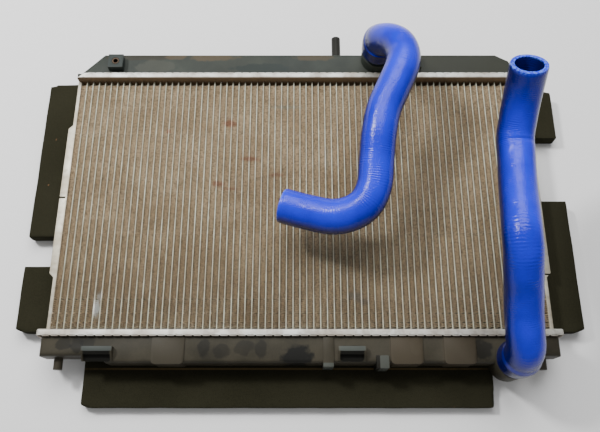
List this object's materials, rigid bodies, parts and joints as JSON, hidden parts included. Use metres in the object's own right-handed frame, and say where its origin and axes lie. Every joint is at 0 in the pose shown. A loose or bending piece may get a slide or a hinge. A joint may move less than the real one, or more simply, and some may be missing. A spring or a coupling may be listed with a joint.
{
  "type": "car radiator",
  "caption": "Downflow car radiator lying face up: flat-tube finned core, crimped plastic tanks, side plates, foam air seals and two moulded coolant hoses.",
  "frame": {"origin": "on the floor under the middle of the radiator's outline, hoses left out", "axes": "+X along the tanks, +Y from the bottom tank to the top tank, +Z out of the engine side, which faces up"},
  "size_m": [0.801, 0.5756, 0.253],
  "materials": {
    "fin_core": "dusty brazed tubes and fins",
    "header_aluminium": "dull, slightly oxidised",
    "plate_aluminium": "dull, slightly oxidised",
    "tank_plastic": "glass-filled nylon, dusty and water-stained",
    "plug_plastic": "moulded",
    "gasket_rubber": "matt",
    "seal_foam": "closed-cell foam",
    "hose_silicone": "satin silicone",
    "insert_brass": "tarnished"
  },
  "bodies": {
    "radiator": {"core": "fin_core", "top_header": "header_aluminium", "bottom_header": "header_aluminium", "top_gasket": "gasket_rubber", "bottom_gasket": "gasket_rubber", "top_tank": "tank_plastic", "bottom_tank": "tank_plastic", "left_side_plate": "plate_aluminium", "right_side_plate": "plate_aluminium", "left_upper_seal": "seal_foam", "left_lower_seal": "seal_foam", "right_upper_seal": "seal_foam", "right_lower_seal": "seal_foam", "bottom_seal": "seal_foam", "left_lug_insert": "insert_brass", "right_lug_insert": "insert_brass"},
    "upper_hose": {"upper_hose": "hose_silicone"},
    "lower_hose": {"lower_hose": "hose_silicone"},
    "drain_ring": {"drain_ring": "gasket_rubber"},
    "drain_plug": {"drain_plug": "plug_plastic"}
  },
  "joints": [
    {"name": "upper_hose_swivel", "type": "hinge", "parent": "radiator", "child": "upper_hose", "pos_m": [0.1205, 0.23675, 0.034], "axis": [0, 0, 1], "range_deg": [-10, 10]},
    {"name": "lower_hose_swivel", "type": "hinge", "parent": "radiator", "child": "lower_hose", "pos_m": [0.2845, -0.22825, 0.034], "axis": [0, 0, 1], "range_deg": [-10, 10]},
    {"name": "drain_ring_travel", "type": "slide", "parent": "radiator", "child": "drain_ring", "axis": [0, 0, -1], "range_m": [0, 0.003]},
    {"name": "drain_plug_turn", "type": "hinge", "parent": "drain_ring", "child": "drain_plug", "pos_m": [-0.215, -0.21325, 0.015], "axis": [0, 0, -1], "range_deg": [0, 720]}
  ],
  "couplings": [
    {"joint": "drain_plug_turn", "follows": "drain_ring_travel", "rad_per_m": 4188.8}
  ]
}
